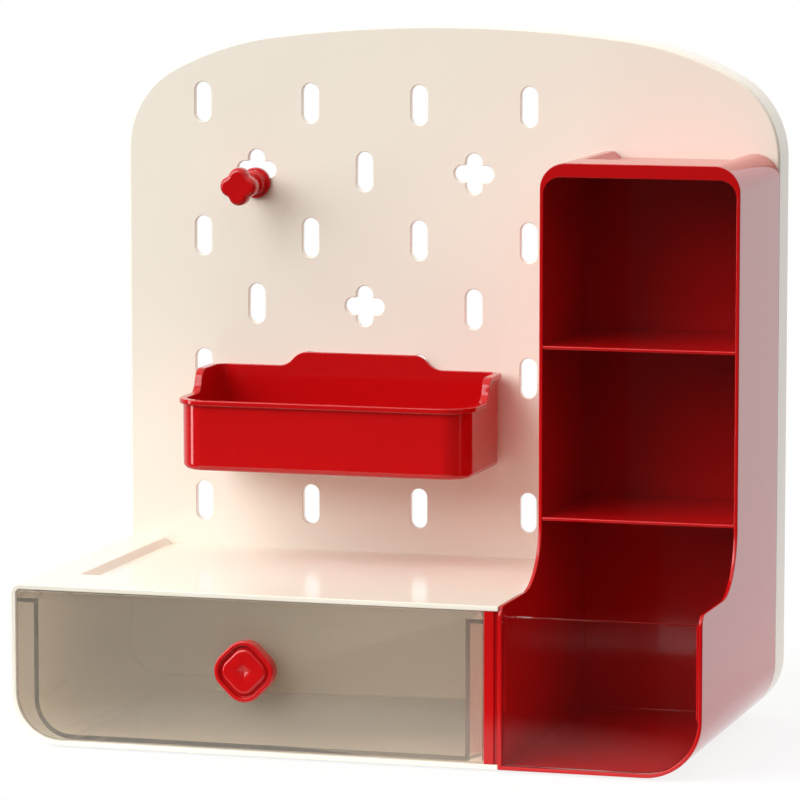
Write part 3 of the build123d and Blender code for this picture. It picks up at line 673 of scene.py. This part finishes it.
class ORGANIZER_OT_tower(bpy.types.Operator):
    """Add the tower's shell with its hollow shoulder."""

    bl_idname = "organizer.tower"
    bl_label = "Tower shell"

    def execute(self, context):
        shells = context.scene.organizer_shells
        wall, foot, hollow, nose = (shells.tower_wall, shells.tower_foot,
                                    shells.hollow, shells.nose)
        left, right, top = TOWER_LOW.x, TOWER_HIGH.x, TOWER_HIGH.z
        top_corner, inner_corner = 10 * MM, 6.5 * MM
        margin, setback, stop = 11.5 * MM, 24 * MM, 1.2 * MM
        shoulder = HOUSING_HIGH.z
        upper = FACE - shells.tower_depth
        # Seen from the side: low in front, a hollow curve, then the full height.
        steps = [("go", shoulder - nose - BASE), ("arc", nose, -90),
                 ("go", upper - hollow - FRONT - nose), ("arc", hollow, 90),
                 ("go", top - shoulder - hollow), ("turn", -90), ("go", FACE - upper),
                 ("turn", -90), ("go", top - BASE), ("turn", -90)]
        piece = prism("tower_body", SIDE_VIEW, left, right - left,
                      (FRONT, BASE), math.pi / 2, steps)
        round_edges(piece, top_corner, {"x": left, "z": top}, {"x": right, "z": top}, segments=14)
        round_edges(piece, foot, {"x": right, "z": BASE}, segments=18)
        inside = prism("inside", FRONT_VIEW, FRONT - REACH, FACE - BACK_WALL - FRONT + REACH,
                       *rounded((left + wall, BASE + wall), (right - wall, top - shells.tower_top),
                                (0, foot - wall, inner_corner, inner_corner)))
        cut(piece, inside)
        past = shells.pocket_slope + REACH
        pocket = pocket_cut(
            "pocket", (left + margin, upper + setback, top - shells.pocket_depth),
            (right - margin, FACE + past, top), shells.pocket_slope)
        cut(piece, pocket)
        for x in (left + wall - REACH, right - wall - stop):
            rib = block("pane stop", (x, PANE_HIGH.y, BASE + foot),
                        (x + stop + REACH, PANE_HIGH.y + stop, PANE_HIGH.z))
            combine(piece, rib)
        finish_piece(piece, "organizer", ["tower_shell"], "red", shells.soft_edge)
        return {"FINISHED"}


class ORGANIZER_OT_shelves(bpy.types.Operator):
    """Add the tower's two shelves."""

    bl_idname = "organizer.shelves"
    bl_label = "Shelves"

    def execute(self, context):
        wall = context.scene.organizer_shells.tower_wall
        for node, name in (("upper_shelf", "upper_floor"), ("lower_shelf", "lower_floor")):
            low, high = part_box(node)
            piece = block(name, (TOWER_LOW.x + wall, low.y, low.z),
                          (TOWER_HIGH.x - wall, high.y, high.z))
            round_edges(piece, 0.5 * MM, {"y": low.y, "z": low.z}, {"y": low.y, "z": high.z},
                        segments=4)
            finish_piece(piece, "organizer", [node], "red", 0.15 * MM)
        return {"FINISHED"}


class ORGANIZER_OT_pane(bpy.types.Operator):
    """Add the clear pane in front of the tower's lowest compartment."""

    bl_idname = "organizer.pane"
    bl_label = "Clear pane"

    def execute(self, context):
        shells = context.scene.organizer_shells
        corner = shells.tower_foot - shells.tower_wall
        piece = prism("clear_pane", FRONT_VIEW, PANE_LOW.y, PANE_HIGH.y - PANE_LOW.y,
                      *rounded((PANE_LOW.x, PANE_LOW.z), (PANE_HIGH.x, PANE_HIGH.z),
                               (0, corner, 0, 0)))
        finish_piece(piece, "organizer", ["front_pane"], "clear", 0.2 * MM,
                     flat=True)
        return {"FINISHED"}


class ORGANIZER_OT_drawer(bpy.types.Operator):
    """Add the clear drawer, whose front plate and tray are one clear body."""

    bl_idname = "organizer.drawer"
    bl_label = "Clear drawer"

    def execute(self, context):
        _, shells, sizes = sizes_of(context)
        wall, corner = sizes.clear_wall, sizes.clear_corner
        small, plate_corner, overlap = 1 * MM, 1.6 * MM, 0.5 * MM
        flange_height = 1.6 * MM
        plate_back = DOOR_HIGH.y
        foot = shells.foot_corner - (DOOR_LOW.x - HOUSING_LOW.x)
        left, right = DOOR_LOW.x + sizes.left_gap, DOOR_HIGH.x - sizes.right_gap
        piece = prism("clear_drawer", FRONT_VIEW, DOOR_LOW.y, plate_back - DOOR_LOW.y,
                      *rounded((DOOR_LOW.x, DOOR_LOW.z), (DOOR_HIGH.x, DOOR_HIGH.z),
                               (foot, small, plate_corner, plate_corner)))
        round_edges(piece, 0.3 * MM, {"y": DOOR_LOW.y}, {"y": plate_back}, segments=3)
        tray = prism("tray", FRONT_VIEW, plate_back - overlap, TRAY_HIGH.y - plate_back + overlap,
                     *rounded((left, TRAY_LOW.z), (right, TRAY_HIGH.z), (corner, small, 0, 0)))
        for low_x, high_x in ((TRAY_LOW.x, left + wall / 2), (right - wall / 2, TRAY_HIGH.x)):
            flange = block("flange", (low_x, plate_back - overlap, TRAY_HIGH.z - flange_height),
                           (high_x, TRAY_HIGH.y, TRAY_HIGH.z))
            combine(tray, flange)
        inside = prism("inside", FRONT_VIEW, plate_back - REACH,
                       TRAY_HIGH.y - wall - plate_back + REACH,
                       *rounded((left + wall, TRAY_LOW.z + wall),
                                (right - wall, TRAY_HIGH.z + REACH), (corner - wall, 0, 0, 0)))
        cut(tray, inside)
        combine(piece, tray)
        finish_piece(piece, "drawer", ["drawer_front", "drawer_tray"], "smoke", 0, flat=True)
        return {"FINISHED"}


def diamond(side, radius, x, z):
    """Outline of a rounded square that stands on its corner."""
    run = side - 2 * radius
    turn = math.radians(45)
    across, up = -run / 2, -side / 2
    start = (x + across * math.cos(turn) - up * math.sin(turn),
             z + across * math.sin(turn) + up * math.cos(turn))
    return start, turn, [("go", run), ("arc", radius, 90)] * 4


class ORGANIZER_OT_knob(bpy.types.Operator):
    """Add the drawer's knob: a rim, a channel and a four-sided dip."""

    bl_idname = "organizer.knob"
    bl_label = "Drawer knob"

    def execute(self, context):
        x, z = middle_of(KNOB_LOW, KNOB_HIGH)
        face, thick, neck_radius = KNOB_LOW.y, 5.5 * MM, 7 * MM
        side, corner = 21.1 * MM, 7.8 * MM
        dip_side, dip_corner, dip_depth, point = 10.6 * MM, 0.8 * MM, 1.4 * MM, 0.05
        piece = prism("knob", FRONT_VIEW, face, thick, *diamond(side, corner, x, z))
        round_edges(piece, 0.8 * MM, {"y": face}, segments=5)
        round_edges(piece, 0.6 * MM, {"y": face + thick}, segments=3)
        # From the rim inwards: down into the channel and up to the island's soft shoulder.
        pick(piece, "FACE", {"y": face})
        for width, rise in ((0.8, 0), (0.35, -1.6), (0.9, 0), (0.35, 1.0), (0.5, 0.35), (0.7, 0.2)):
            bpy.ops.mesh.inset(thickness=width * MM, depth=rise * MM, use_even_offset=True)
        done()
        # The dip's four flat sides meet in its middle.
        dip = trace("dip", FRONT_VIEW, face - REACH, *diamond(dip_side, dip_corner, x, z))
        pick(dip, "FACE", {})
        extrude((0, REACH + dip_depth, 0))
        bpy.ops.transform.resize(value=(point, 1, point), center_override=(x, face + dip_depth, z))
        bpy.ops.mesh.select_all(action="SELECT")
        bpy.ops.mesh.normals_make_consistent(inside=False)
        done()
        cut(piece, dip)
        neck = rod("neck", x, z, neck_radius, face + thick - MM / 2, KNOB_HIGH.y)
        combine(piece, neck)
        finish_piece(piece, "drawer", ["drawer_knob"], "red", 0.2 * MM, angle=35)
        return {"FINISHED"}


class ORGANIZER_OT_basket(bpy.types.Operator):
    """Add the hanging tray with its lip, raised back and two hooks."""

    bl_idname = "organizer.basket"
    bl_label = "Hanging tray"
    HALF = 59.3 * MM            # half of the tray's width
    DEPTH = 51 * MM             # front to back
    CORNERS = (11 * MM, 11 * MM, 6 * MM, 6 * MM)
    RISE_END, RISE_RUN = 29 * MM, 11 * MM       # where the side's rise starts, and its run
    TAB_FOOT, TAB_FLAT = 34 * MM, 22 * MM       # half widths of the back's tab
    CLEAR = 2 * MM              # how far the upper cuts go past the tray

    def plan(self, name, middle, grow, bottom, top):
        """A prism of the tray's plan, grown all round."""
        half = self.HALF + grow
        front, back = self.front - grow, self.back + grow
        return prism(name, PLAN_VIEW, bottom, top - bottom,
                     *rounded((middle - half, front), (middle + half, back),
                              [corner + grow for corner in self.CORNERS]))

    def above_rim(self, name, sizes, drop, short=0.0):
        """What lies over the rim, seen from the side: low in front, a soft rise, high behind."""
        low, high = self.bottom + sizes.basket_front - drop, self.bottom + sizes.basket_back - drop
        start, run = FACE - self.RISE_END, self.RISE_RUN
        lean = 2 * math.atan((high - low) / run)
        radius = run / (2 * math.sin(lean))
        aside = 5 * MM
        ahead, inner = self.front - aside, self.back - sizes.basket_wall - REACH / 2 - short
        top = BASKET_HIGH.z + self.CLEAR
        steps = [("go", start - ahead), ("arc", radius, math.degrees(lean)),
                 ("arc", radius, -math.degrees(lean)), ("go", inner - start - run), ("turn", 90),
                 ("go", top - high), ("turn", 90), ("go", inner - ahead), ("turn", 90)]
        return prism(name, SIDE_VIEW, BASKET_LOW.x - aside,
                     BASKET_HIGH.x - BASKET_LOW.x + 2 * aside, (ahead, low), 0.0, steps)

    def above_back(self, sizes, middle):
        """What lies over the back wall, seen from the front: the wall rises to a flat tab."""
        wall = self.bottom + sizes.basket_back
        rise, foot, flat, far = BASKET_HIGH.z - wall, self.TAB_FOOT, self.TAB_FLAT, 70 * MM
        lean = 2 * math.atan(rise / (foot - flat))
        radius = (foot - flat) / (2 * math.sin(lean))
        bend = math.degrees(lean)
        steps = [("go", far - foot), ("arc", radius, bend), ("arc", radius, -bend),
                 ("go", 2 * flat), ("arc", radius, -bend), ("arc", radius, bend),
                 ("go", far - foot), ("turn", 90), ("go", rise + self.CLEAR), ("turn", 90),
                 ("go", 2 * far), ("turn", 90)]
        return prism("above back", FRONT_VIEW, self.back - sizes.basket_wall - REACH,
                     sizes.basket_wall + 3 * MM, (middle - far, wall), 0.0, steps)

    def execute(self, context):
        board, shells, sizes = sizes_of(context)
        wall, lip = sizes.basket_wall, sizes.lip_width
        hooks = [hole_middle(board, *hole) for hole in HOOK_HOLES]
        centre = (hooks[0][0] + hooks[1][0]) / 2
        # The tray hangs a little to the left of its hooks, and its tab half as much.
        aside = 2.9 * MM
        middle = centre - aside
        slot_end = hooks[0][1] - board.slot_length / 2
        self.back = FACE - FIT
        self.front = self.back - self.DEPTH
        self.bottom, top = BASKET_LOW.z, BASKET_HIGH.z
        piece = self.plan("hanging_tray", middle, 0, self.bottom, top)
        round_edges(piece, 2.5 * MM, {"z": self.bottom}, segments=6)
        cut(piece, self.plan("inside", middle, -wall, self.bottom + wall, top + REACH))
        cut(piece, self.above_rim("above rim", sizes, 0))
        cut(piece, self.above_back(sizes, centre - aside / 2))
        # The rim turns outwards to a small lip, which stops short of the board.
        rim = self.plan("lip", middle, lip, self.bottom + 10 * MM, top)
        cut(rim, self.plan("inside", middle, -wall / 2, self.bottom, top + REACH))
        combine(rim, self.above_rim("below lip", sizes, sizes.lip_height, REACH), "INTERSECT")
        cut(rim, self.above_rim("above lip", sizes, 0))
        combine(piece, rim)
        # An arm goes through each slot, and its tongue reaches down behind the board.
        half, height, drop, thick, curve = 3.1 * MM, 5 * MM, 5.5 * MM, 2.5 * MM, 2.9 * MM
        rest, back = slot_end + FIT, FACE + board.wall + FIT
        for x, z in hooks:
            arm = block("arm", (x - half, self.back - MM, rest),
                        (x + half, back + MM, rest + height))
            round_edges(arm, curve, {"x": x - half, "z": rest}, {"x": x + half, "z": rest})
            tongue = block("tongue", (x - half, back, rest - drop),
                           (x + half, back + thick, rest + height))
            combine(arm, tongue)
            combine(piece, arm)
        finish_piece(piece, "hanging_tray", ["basket"], "red", shells.soft_edge)
        return {"FINISHED"}


class ORGANIZER_OT_peg(bpy.types.Operator):
    """Add the peg with its four-lobed head, and the button that holds it behind the board."""

    bl_idname = "organizer.peg"
    bl_label = "Peg"

    def execute(self, context):
        x, z = middle_of(PEG_LOW, PEG_HIGH)
        face = PEG_LOW.y
        lobe, offset, notch, depth, dimple = 4.0 * MM, 3.5 * MM, 2.5 * MM, 6.6 * MM, 0.8 * MM
        neck_radius, flare_radius, flare_length = 3.9 * MM, 5.25 * MM, 3 * MM
        collar_radius, collar_thick, stem_radius = 6.15 * MM, 2 * MM, 2.7 * MM
        reach = (offset + math.sqrt(2 * (lobe + notch) ** 2 - offset ** 2)) / 2
        half = math.atan2(reach, reach - offset)
        start = (x + offset + lobe * math.cos(half), z - lobe * math.sin(half))
        turn = math.degrees(2 * half)
        steps = [("arc", lobe, turn), ("arc", notch, 90 - turn)] * 4
        piece = prism("peg_head", FRONT_VIEW, face, depth, start, math.pi / 2 - half, steps)
        round_edges(piece, 1.9 * MM, {"y": face}, {"y": face + depth}, segments=6)
        pick(piece, "FACE", {"y": face})
        bpy.ops.mesh.inset(thickness=dimple, depth=0, use_even_offset=True)
        extrude((0, dimple, 0))
        bpy.ops.mesh.merge(type="CENTER")
        done()
        back = face + depth
        collar_back = FACE - FIT
        collar_front = collar_back - collar_thick
        neck = rod("neck", x, z, neck_radius, back - MM, collar_front + MM)
        combine(piece, neck)
        flare_front, taper = collar_front - flare_length, neck_radius / flare_radius
        flare = rod("flare", x, z, flare_radius, flare_front, collar_front + MM / 2)
        pick(flare, "FACE", {"y": flare_front})
        bpy.ops.transform.resize(value=(taper, 1, taper), center_override=(x, flare_front, z))
        done()
        combine(piece, flare)
        collar = rod("collar", x, z, collar_radius, collar_front, collar_back, sides=64)
        round_edges(collar, 0.6 * MM, {"y": collar_front}, segments=4)
        combine(piece, collar)
        stem = rod("stem", x, z, stem_radius, collar_back - MM, PEG_HIGH.y)
        combine(piece, stem)
        finish_piece(piece, "peg", ["peg_knob"], "red", 0)
        low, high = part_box("peg_retainer")
        button = rod("peg_button", x, z, (high.x - low.x) / 2, PEG_HIGH.y, high.y)
        round_edges(button, 0.8 * MM, {"y": high.y}, segments=4)
        finish_piece(button, "peg", ["peg_retainer"], "red", 0.1 * MM)
        return {"FINISHED"}


def screw(name, x, z, head, y_front, y_head, y_back):
    """A screw seen from behind, with a cross recess in its head."""
    shank_radius, recess_depth = 1.4 * MM, 0.9 * MM
    piece = rod(name, x, z, head, y_head, y_back)
    round_edges(piece, 0.8 * MM, {"y": y_back}, segments=4)
    shank = rod("shank", x, z, shank_radius, y_front, y_head + MM / 2, sides=24)
    combine(piece, shank)
    long, short = head * 0.55, head * 0.13
    for wide, high in ((long, short), (short, long)):
        slot = block("recess", (x - wide, y_back - recess_depth, z - high),
                     (x + wide, y_back + MM, z + high))
        cut(piece, slot)
    return piece


class ORGANIZER_OT_fasteners(bpy.types.Operator):
    """Add the screws behind the board and in the knob, and the pads under the shells."""

    bl_idname = "organizer.fasteners"
    bl_label = "Screws and pads"

    def execute(self, context):
        head, head_thick = 5.5 * MM, 2.2 * MM
        for node, name in (("housing_screws", "housing_fixings"), ("tower_screws", "tower_fixings")):
            low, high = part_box(node)
            places = [(x, z) for x in (low.x + head, high.x - head)
                      for z in sorted({low.z + head, high.z - head})
                      if node == "tower_screws" or z == low.z + head]
            x, z = places[0]
            screws = [screw(name, x, z, head, low.y, high.y - head_thick, high.y)]
            for to_x, to_z in places[1:]:
                screws.append(copy_of(screws[0], name, (to_x - x, 0, to_z - z)))
            finish_piece(joined(screws, name), "organizer", [node], "steel", 0.1 * MM)
        low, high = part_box("knob_screw")
        small_head, hidden, thick = 3.2 * MM, 5.5 * MM, 1.8 * MM
        fixing = screw("knob_fixing", *middle_of(low, high), small_head,
                       low.y + hidden, high.y - thick, high.y)
        finish_piece(fixing, "drawer", ["knob_screw"], "steel", 0.1 * MM)
        for node, name in (("housing_feet", "housing_pads"), ("tower_feet", "tower_pads")):
            low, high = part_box(node)
            radius = (high.x - low.x) / 2
            pads = []
            for y in (low.y + radius, high.y - radius):
                bpy.ops.object.select_all(action="DESELECT")
                bpy.ops.mesh.primitive_cylinder_add(
                    vertices=48, radius=radius, depth=high.z - low.z,
                    location=(low.x + radius, y, (low.z + high.z) / 2))
                pad = settle(bpy.context.object, name)
                pick(pad, "FACE", {"z": low.z})
                bpy.ops.mesh.inset(thickness=1.2 * MM, depth=0)
                bpy.ops.mesh.inset(thickness=0.5 * MM, depth=-0.3 * MM)
                done()
                pads.append(pad)
            finish_piece(joined(pads, name), "organizer", [node], "pad", 0.25 * MM)
        return {"FINISHED"}


# ---- floor, light and camera ----

# Where each soft panel stands, what it faces, and its width and height.
KEY_LIGHT = ((-2.9, -3.2, 2.9), (0, 0, 0.1), (4.4, 4.4))
TALL_LIGHT = ((-5.1, -1.9, 1.3), (0, 0, 0.12), (1.2, 4.4))
BACK_LIGHT = ((2.4, 4.2, 1.0), (0, 0, 0.1), (3.4, 3.0))
WHITE = (1.0, 1.0, 1.0)
COOL_WHITE = (0.94, 0.98, 1.0)
WARM_WHITE = (1.0, 0.96, 0.91)
HORIZON_LEVEL = 0.06            # the surround's strength at the horizon and below
FLOOR_RADIUS = 0.3
FLOOR_MIDDLE = (0.0, 0.05, 0.0)
FADE_START, FADE_END = 0.18, 0.24       # where the floor fades, from its middle
FLOOR_GLOW = 0.85               # how much of the floor's look is plain white
CAMERA_PLACE = (0.51783, -1.79288, 0.35303)
CAMERA_TILT, CAMERA_ROLL, CAMERA_TURN = 90 - 6.828, -0.02, 16.128       # degrees


def softbox(name, place, target, size, level, tone=COOL_WHITE, mirrored=True):
    """A soft panel that faces the target; a level of 1 looks white in a mirror."""
    data = bpy.data.lights.new(name, "AREA")
    data.shape = "RECTANGLE"
    data.size, data.size_y = size
    data.energy = level * math.pi * size[0] * size[1]
    data.color = tone
    lamp = bpy.data.objects.new(name, data)
    bpy.context.collection.objects.link(lamp)
    lamp.location = place
    lamp.rotation_euler = (Vector(target) - Vector(place)).to_track_quat("-Z", "Y").to_euler()
    lamp.visible_camera = False
    lamp.visible_transmission = False
    lamp.visible_glossy = mirrored


def studio_surround(world, low, high):
    """A soft surround that is dark below the horizon and grows brighter towards the top.

    The camera, also through clear plastic, and what mirrors the back of the studio get plain white.
    """
    world.use_nodes = True
    tree = world.node_tree
    parts = fill(tree, tree.nodes.new("ShaderNodeSeparateXYZ"),
                 {"Vector": tree.nodes.new("ShaderNodeTexCoord").outputs["Generated"]}).outputs
    soft = fill(tree, tree.nodes["Background"],
                {"Color": (*WARM_WHITE, 1.0),
                 "Strength": ramp(tree, parts["Z"], -0.05, 0.9, low, high)})
    white = fill(tree, tree.nodes.new("ShaderNodeBackground"), {"Color": (*WHITE, 1.0)})
    path = tree.nodes.new("ShaderNodeLightPath").outputs
    # Clear plastic passes the white on only while the ray has not bounced off a surface.
    turned = maths(tree, "MAXIMUM", path["Glossy Depth"], path["Diffuse Depth"])
    straight = maths(tree, "GREATER_THAN", path["Is Transmission Ray"], turned)
    direct = maths(tree, "MAXIMUM", path["Is Camera Ray"], straight)
    sharp = maths(tree, "MAXIMUM", path["Is Glossy Ray"], path["Is Transmission Ray"])
    mirrored = maths(tree, "MULTIPLY", sharp, ramp(tree, parts["Y"], -0.2, 0.5, 0.0, 1.0))
    surface = mixed(tree, maths(tree, "MAXIMUM", direct, mirrored),
                    soft.outputs[0], white.outputs[0])
    fill(tree, tree.nodes["World Output"], {"Surface": surface})


def pale_floor(tone):
    """A plain pale floor with a light shadow, which fades out into the white surround."""
    material = bpy.data.materials.new("pale floor")
    material.use_nodes = True
    tree = material.node_tree
    shader = fill(tree, tree.nodes["Principled BSDF"],
                  {"Base Color": (*tone, 1.0), "Roughness": 0.8, "Specular IOR Level": 0.2})
    # What is seen of the floor is mostly plain white, so its shadow stays light.
    glow = tree.nodes.new("ShaderNodeEmission")
    path = tree.nodes.new("ShaderNodeLightPath").outputs
    direct = maths(tree, "MAXIMUM", path["Is Camera Ray"], path["Is Transmission Ray"])
    seen = maths(tree, "MAXIMUM", direct, path["Is Glossy Ray"])
    lit = mixed(tree, maths(tree, "MULTIPLY", seen, FLOOR_GLOW), shader.outputs[0], glow.outputs[0])
    far = tree.nodes.new("ShaderNodeVectorMath")
    far.operation = "DISTANCE"
    fill(tree, far, {0: tree.nodes.new("ShaderNodeTexCoord").outputs["Object"],
                     1: FLOOR_MIDDLE})
    fade = ramp(tree, far.outputs["Value"], FADE_START, FADE_END, 0.0, 1.0)
    gone = tree.nodes.new("ShaderNodeBsdfTransparent")
    fill(tree, tree.nodes["Material Output"],
         {"Surface": mixed(tree, fade, lit, gone.outputs[0])})
    return material


class ORGANIZER_OT_stage(bpy.types.Operator):
    """Add the floor, the lights, the white surround and the camera."""

    bl_idname = "organizer.stage"
    bl_label = "Stage"

    def execute(self, context):
        stage = context.scene.organizer_stage
        bpy.ops.object.select_all(action="DESELECT")
        bpy.ops.mesh.primitive_circle_add(vertices=96, radius=FLOOR_RADIUS, fill_type="NGON")
        floor = settle(context.object, "floor")
        floor.data.materials.append(pale_floor(stage.floor))
        softbox("key light", *KEY_LIGHT, stage.key_level)
        softbox("tall light", *TALL_LIGHT, stage.tall_level)
        softbox("back light", *BACK_LIGHT, stage.back_level, tone=WHITE, mirrored=False)
        world = bpy.data.worlds.new("soft surround")
        context.scene.world = world
        studio_surround(world, HORIZON_LEVEL, stage.surround_level)
        context.scene.view_settings.view_transform = "Standard"
        data = bpy.data.cameras.new("camera")
        data.lens = stage.lens
        data.sensor_width = 36.0
        camera = bpy.data.objects.new("camera", data)
        context.collection.objects.link(camera)
        camera.location = CAMERA_PLACE
        camera.rotation_euler = [math.radians(a) for a in (CAMERA_TILT, CAMERA_ROLL, CAMERA_TURN)]
        context.scene.camera = camera
        return {"FINISHED"}


class ORGANIZER_PT_panel(bpy.types.Panel):
    """Lists the pieces and their sizes."""

    bl_label = "Organizer"
    bl_idname = "ORGANIZER_PT_panel"
    bl_space_type = "VIEW_3D"
    bl_region_type = "UI"
    bl_category = "Organizer"

    def draw(self, context):
        for operator in PIECES:
            self.layout.operator(operator.bl_idname)
        for name in GROUPS:
            box = self.layout.box()
            group = getattr(context.scene, name)
            for key in group.bl_rna.properties.keys():
                if key not in ("rna_type", "name"):
                    box.prop(group, key)


GROUPS = {
    "organizer_board": BoardSizes,
    "organizer_shells": ShellSizes,
    "organizer_trays": TraySizes,
    "organizer_tones": Tones,
    "organizer_stage": StageSettings,
}
PIECES = (
    ORGANIZER_OT_stage, ORGANIZER_OT_pegboard, ORGANIZER_OT_housing, ORGANIZER_OT_rail,
    ORGANIZER_OT_tower, ORGANIZER_OT_shelves, ORGANIZER_OT_pane, ORGANIZER_OT_drawer,
    ORGANIZER_OT_knob, ORGANIZER_OT_basket, ORGANIZER_OT_peg, ORGANIZER_OT_fasteners,
)


def register():
    for cls in (*GROUPS.values(), *PIECES, ORGANIZER_PT_panel):
        bpy.utils.register_class(cls)
    for name, cls in GROUPS.items():
        setattr(bpy.types.Scene, name, bpy.props.PointerProperty(type=cls))


def unregister():
    for name in GROUPS:
        delattr(bpy.types.Scene, name)
    for cls in reversed((*GROUPS.values(), *PIECES, ORGANIZER_PT_panel)):
        bpy.utils.unregister_class(cls)


def main():
    """Registers the add-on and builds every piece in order."""
    register()
    bpy.ops.organizer.stage()
    bpy.ops.organizer.pegboard()
    bpy.ops.organizer.housing()
    bpy.ops.organizer.rail()
    bpy.ops.organizer.tower()
    bpy.ops.organizer.shelves()
    bpy.ops.organizer.pane()
    bpy.ops.organizer.drawer()
    bpy.ops.organizer.knob()
    bpy.ops.organizer.basket()
    bpy.ops.organizer.peg()
    bpy.ops.organizer.fasteners()


if __name__ == "__main__":
    main()
